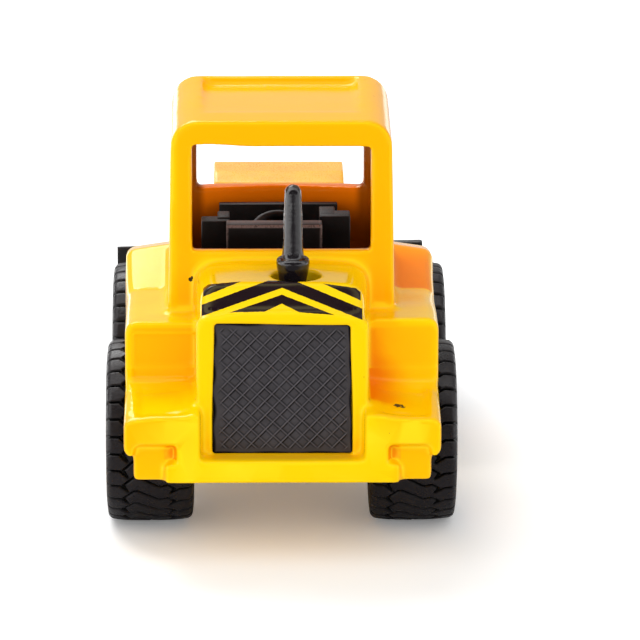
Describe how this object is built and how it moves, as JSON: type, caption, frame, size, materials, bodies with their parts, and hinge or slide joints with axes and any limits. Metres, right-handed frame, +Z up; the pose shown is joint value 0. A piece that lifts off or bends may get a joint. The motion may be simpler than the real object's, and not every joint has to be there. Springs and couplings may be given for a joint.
{
  "type": "toy wheel loader",
  "caption": "Pocket-size die-cast toy wheel loader with open cab, rolling wheels, lifting boom and tipping bucket.",
  "frame": {"origin": "on the floor, under the middle of the model's length and width", "axes": "+Y forward, towards the bucket; +X to the driver's right; +Z up"},
  "size_m": [0.0352, 0.078, 0.043],
  "materials": {
    "yellow_paint": "thick glossy enamel on die-cast zinc",
    "yellow_plastic": "glossy moulded plastic",
    "black_plastic": "satin moulded plastic",
    "black_bucket": "satin moulded plastic",
    "tyre": "moulded block tread",
    "steel": "plain wire",
    "bare_zinc": "peened casting post"
  },
  "bodies": {
    "machine": {"body_casting": "yellow_paint", "chassis_base": "yellow_paint", "rear_rivet": "bare_zinc", "front_rivet": "bare_zinc", "radiator_grille": "black_plastic", "exhaust_stack": "black_plastic", "interior_tub": "black_plastic", "driver_seat": "black_plastic", "dashboard": "black_plastic", "steering_wheel": "black_plastic", "boom_pivot_pin": "steel"},
    "rear_wheelset": {"rear_axle": "steel", "rear_left_tyre": "tyre", "rear_left_rim": "yellow_plastic", "rear_right_tyre": "tyre", "rear_right_rim": "yellow_plastic"},
    "front_wheelset": {"front_axle": "steel", "front_left_tyre": "tyre", "front_left_rim": "yellow_plastic", "front_right_tyre": "tyre", "front_right_rim": "yellow_plastic"},
    "lift_arm": {"boom": "yellow_plastic", "bucket_pivot_pin": "steel"},
    "scoop": {"bucket": "black_bucket"}
  },
  "joints": [
    {"name": "rear_wheels_roll", "type": "hinge", "parent": "machine", "child": "rear_wheelset", "pos_m": [0, -0.022, 0.0092], "axis": [1, 0, 0], "continuous": true},
    {"name": "front_wheels_roll", "type": "hinge", "parent": "machine", "child": "front_wheelset", "pos_m": [0, 0.0087, 0.0092], "axis": [1, 0, 0], "continuous": true},
    {"name": "boom_lift", "type": "hinge", "parent": "machine", "child": "lift_arm", "pos_m": [0, 0.0034, 0.016], "axis": [1, 0, 0], "range_deg": [0, 45]},
    {"name": "bucket_tilt", "type": "hinge", "parent": "lift_arm", "child": "scoop", "pos_m": [0, 0.0196, 0.0052], "axis": [1, 0, 0], "range_deg": [-55, 15]}
  ]
}
